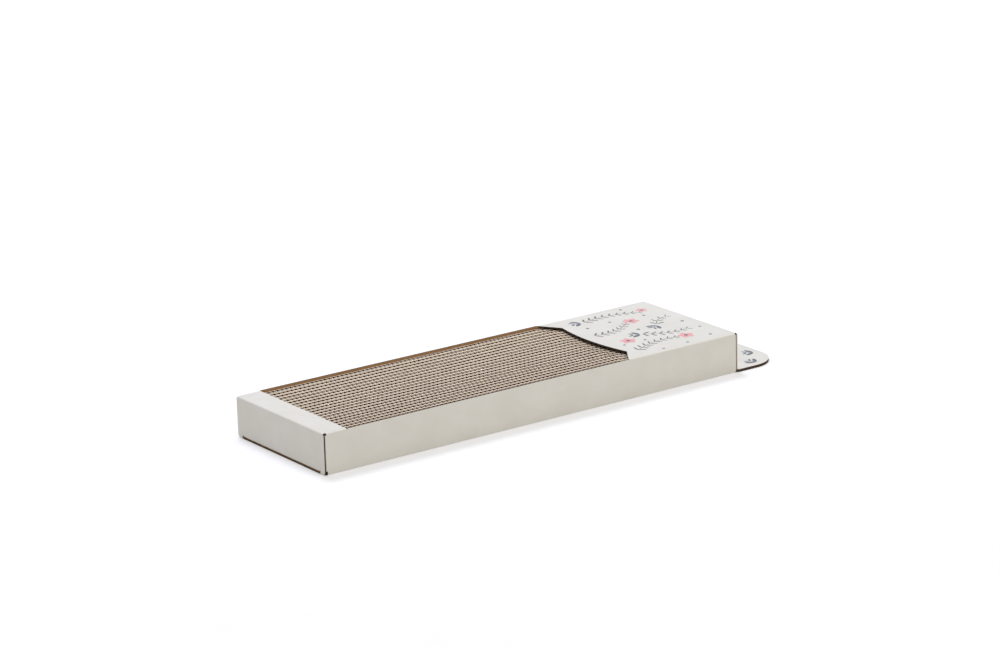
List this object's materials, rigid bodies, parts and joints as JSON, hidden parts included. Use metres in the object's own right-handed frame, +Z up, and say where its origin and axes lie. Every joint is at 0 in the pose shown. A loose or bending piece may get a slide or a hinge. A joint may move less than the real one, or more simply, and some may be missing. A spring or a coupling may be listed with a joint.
{
  "type": "cat scratching board",
  "caption": "Flat folded carton, open across its top, holding a pad of corrugated strips on edge, with a hinged foot end and a tab that lies on the floor.",
  "frame": {"origin": "on the floor under the middle of the whole outline, tab included", "axes": "+X from the open foot end to the covered head end and its tab, +Y from the near long side to the far one, +Z up"},
  "size_m": [0.669, 0.185, 0.05],
  "materials": {
    "printed_board": "white-lined fluted board, matt print, brown raw edges",
    "inside_board": "brown kraft inner face of the fluted board",
    "corrugated_pad": "cut edges of brown corrugated board, matt"
  },
  "bodies": {
    "carton": {"bottom_panel": "printed_board", "near_side_panel": "printed_board", "far_side_panel": "printed_board", "foot_bridge": "printed_board", "head_cover": "printed_board", "glue_flap": "inside_board", "head_end_panel": "printed_board", "head_dust_flap_near": "inside_board", "head_dust_flap_far": "inside_board", "pad_strip_01": "corrugated_pad", "pad_strip_02": "corrugated_pad", "pad_strip_03": "corrugated_pad", "pad_strip_04": "corrugated_pad", "pad_strip_05": "corrugated_pad", "pad_strip_06": "corrugated_pad", "pad_strip_07": "corrugated_pad", "pad_strip_08": "corrugated_pad", "pad_strip_09": "corrugated_pad", "pad_strip_10": "corrugated_pad", "pad_strip_11": "corrugated_pad", "pad_strip_12": "corrugated_pad", "pad_strip_13": "corrugated_pad", "pad_strip_14": "corrugated_pad", "pad_strip_15": "corrugated_pad", "pad_strip_16": "corrugated_pad", "pad_strip_17": "corrugated_pad", "pad_strip_18": "corrugated_pad", "pad_strip_19": "corrugated_pad", "pad_strip_20": "corrugated_pad"},
    "foot_end": {"foot_end_panel": "printed_board"},
    "tuck_flap": {"foot_tuck_flap": "printed_board"},
    "dust_flap_near": {"foot_dust_flap_near": "inside_board"},
    "dust_flap_far": {"foot_dust_flap_far": "inside_board"},
    "tab": {"tab_lower_layer": "printed_board", "tab_upper_layer": "printed_board"}
  },
  "joints": [
    {"name": "foot_end_fold", "type": "hinge", "parent": "carton", "child": "foot_end", "pos_m": [-0.3345, 0, 0.05], "axis": [0, 1, 0], "range_deg": [0, 135]},
    {"name": "tuck_flap_fold", "type": "hinge", "parent": "foot_end", "child": "tuck_flap", "pos_m": [-0.3345, 0, 0.0019], "axis": [0, 1, 0], "range_deg": [0, 45]},
    {"name": "dust_flap_near_fold", "type": "hinge", "parent": "carton", "child": "dust_flap_near", "pos_m": [-0.3326, -0.0925, 0.025], "axis": [0, 0, 1], "range_deg": [0, 90]},
    {"name": "dust_flap_far_fold", "type": "hinge", "parent": "carton", "child": "dust_flap_far", "pos_m": [-0.3326, 0.0925, 0.025], "axis": [0, 0, -1], "range_deg": [0, 90]},
    {"name": "tab_fold", "type": "hinge", "parent": "carton", "child": "tab", "pos_m": [0.2658, 0, 0.0035], "axis": [0, -1, 0], "range_deg": [0, 90]}
  ],
  "couplings": [
    {"joint": "tuck_flap_fold", "follows": "foot_end_fold", "ratio": 0.33333},
    {"joint": "dust_flap_near_fold", "follows": "foot_end_fold", "ratio": 0.66666},
    {"joint": "dust_flap_far_fold", "follows": "foot_end_fold", "ratio": 0.66666}
  ]
}
